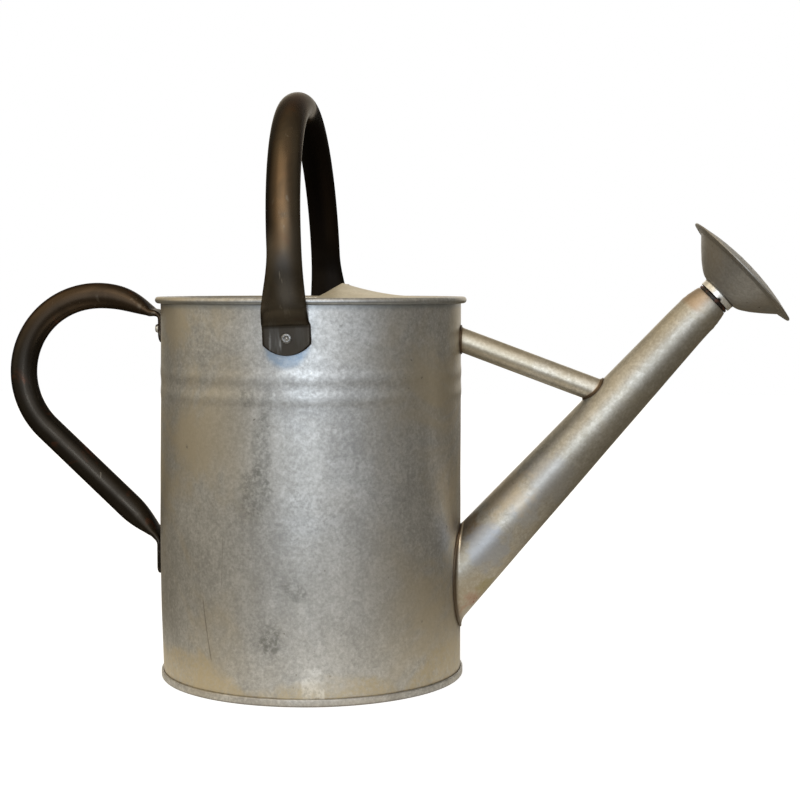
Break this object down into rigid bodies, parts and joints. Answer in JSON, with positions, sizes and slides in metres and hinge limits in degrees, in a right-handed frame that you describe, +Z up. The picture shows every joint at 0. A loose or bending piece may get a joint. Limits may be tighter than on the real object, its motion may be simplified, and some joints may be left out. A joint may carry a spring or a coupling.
{
  "type": "watering can",
  "caption": "Weathered galvanised steel watering can: round body with swaged beads, half hood, braced cone spout, screw-on rose, bent tube rear handle and swinging top handle.",
  "frame": {"origin": "centre of the outer box at the level of the ground that the can stands on", "axes": "+Z up; +X to the spout and the rose; the rear handle is at -X and the top handle's pivots lie along Y"},
  "size_m": [0.5475, 0.2624, 0.4075],
  "materials": {
    "galvanised_body": "weathered galvanised, mottled grey",
    "galvanised_base": "weathered galvanised, dull",
    "galvanised_hood": "weathered galvanised, beige and smooth",
    "galvanised_spout": "galvanised, semi-bright with soldered joints",
    "galvanised_rose": "dull grey zinc",
    "bright_zinc": "bright zinc",
    "wire_steel": "drawn wire",
    "bronze_paint": "dark bronze paint, semi-gloss, worn",
    "dark_thread": "blackened and rust-stained thread",
    "rubber": "matt"
  },
  "bodies": {
    "can": {"body_wall": "galvanised_body", "base_pan": "galvanised_base", "rim_wire": "wire_steel", "hood": "galvanised_hood", "spout": "galvanised_spout", "brace": "galvanised_spout", "threaded_nipple": "dark_thread", "rear_handle": "bronze_paint", "rivet_bail_near": "bright_zinc", "mandrel_bail_near": "wire_steel", "rivet_bail_far": "bright_zinc", "mandrel_bail_far": "wire_steel", "rivet_rear_upper": "bright_zinc", "mandrel_rear_upper": "wire_steel", "rivet_rear_lower": "bright_zinc", "mandrel_rear_lower": "wire_steel"},
    "bail": {"top_handle": "bronze_paint"},
    "rose_seal": {"rose_washer": "rubber"},
    "rose": {"rose_collar": "bright_zinc", "rose_back": "galvanised_rose", "rose_face": "galvanised_rose"}
  },
  "joints": [
    {"name": "bail_swing", "type": "hinge", "parent": "can", "child": "bail", "pos_m": [-0.05717, 0, 0.2402], "axis": [0, 1, 0], "range_deg": [-68, 92]},
    {"name": "rose_travel", "type": "slide", "parent": "can", "child": "rose_seal", "axis": [0.723, 0, 0.6909], "range_m": [-0.00138, 0.0058]},
    {"name": "rose_turn", "type": "hinge", "parent": "rose_seal", "child": "rose", "pos_m": [0.22141, 0, 0.26393], "axis": [0.723, 0, 0.6909], "range_deg": [-160, 690]}
  ],
  "couplings": [
    {"joint": "rose_travel", "follows": "rose_turn", "m_per_rad": 0.00047746}
  ]
}
